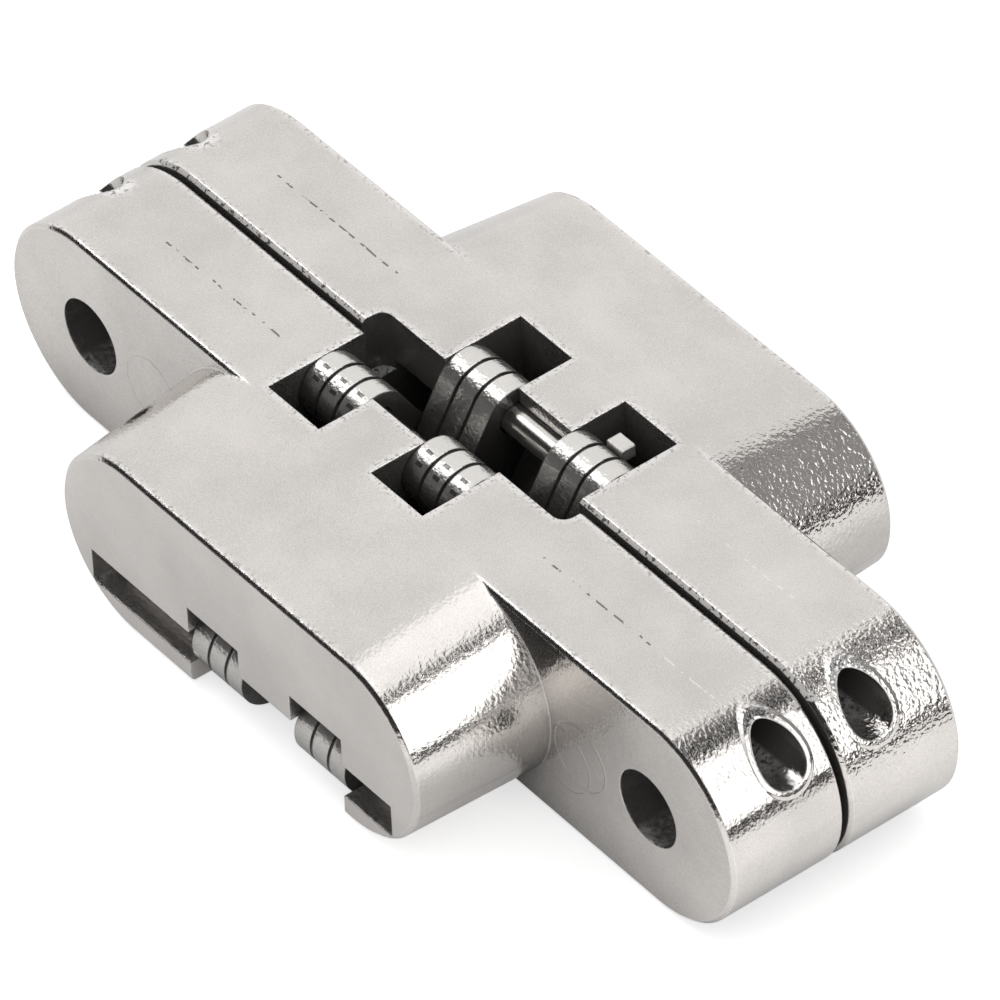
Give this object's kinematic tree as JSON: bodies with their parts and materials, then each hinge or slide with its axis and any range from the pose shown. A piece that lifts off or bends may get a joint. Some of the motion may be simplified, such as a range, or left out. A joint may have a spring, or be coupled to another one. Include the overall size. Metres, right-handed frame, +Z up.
{
  "type": "concealed invisible door hinge",
  "caption": "Concealed door hinge: mirrored die-cast leaves with rounded flanges, joined by crossing stacked links that slide in grooves and open through a half turn.",
  "frame": {"origin": "centre of the closed hinge's length and height, on the plane midway between the two leaves", "axes": "+X along the leaves, +Y from the near leaf to the far leaf, +Z up to the side where the links pivot"},
  "size_m": [0.06, 0.0312, 0.0124],
  "materials": {
    "casting": "satin nickel plated zinc",
    "plate": "plated stamped steel",
    "pin": "bright drawn steel"
  },
  "bodies": {
    "near_casting": {"near_casting": "casting", "near_pivot_rod": "pin"},
    "near_links": {"near_link_1": "plate", "near_link_2": "plate", "near_link_3": "plate", "near_link_4": "plate", "near_link_5": "plate", "near_link_6": "plate", "centre_pin": "pin", "near_slide_pin": "pin"},
    "far_links": {"far_link_1": "plate", "far_link_2": "plate", "far_link_3": "plate", "far_link_4": "plate", "far_link_5": "plate", "far_link_6": "plate", "far_slide_pin": "pin"},
    "far_casting": {"far_casting": "casting", "far_pivot_rod": "pin"}
  },
  "joints": [
    {"name": "near_link_turn", "type": "hinge", "parent": "near_casting", "child": "near_links", "pos_m": [0, -0.0028, 0.0043], "axis": [1, 0, 0], "range_deg": [0, 131.39]},
    {"name": "link_cross_turn", "type": "hinge", "parent": "near_links", "child": "far_links", "pos_m": [0, 0, 0], "axis": [-1, 0, 0], "range_deg": [0, 82.78]},
    {"name": "far_link_turn", "type": "hinge", "parent": "far_links", "child": "far_casting", "pos_m": [0, 0.0028, 0.0043], "axis": [1, 0, 0], "range_deg": [0, 131.4]}
  ],
  "couplings": [
    {"joint": "link_cross_turn", "follows": "near_link_turn", "ratio": 0.63},
    {"joint": "far_link_turn", "follows": "near_link_turn", "ratio": 1}
  ]
}
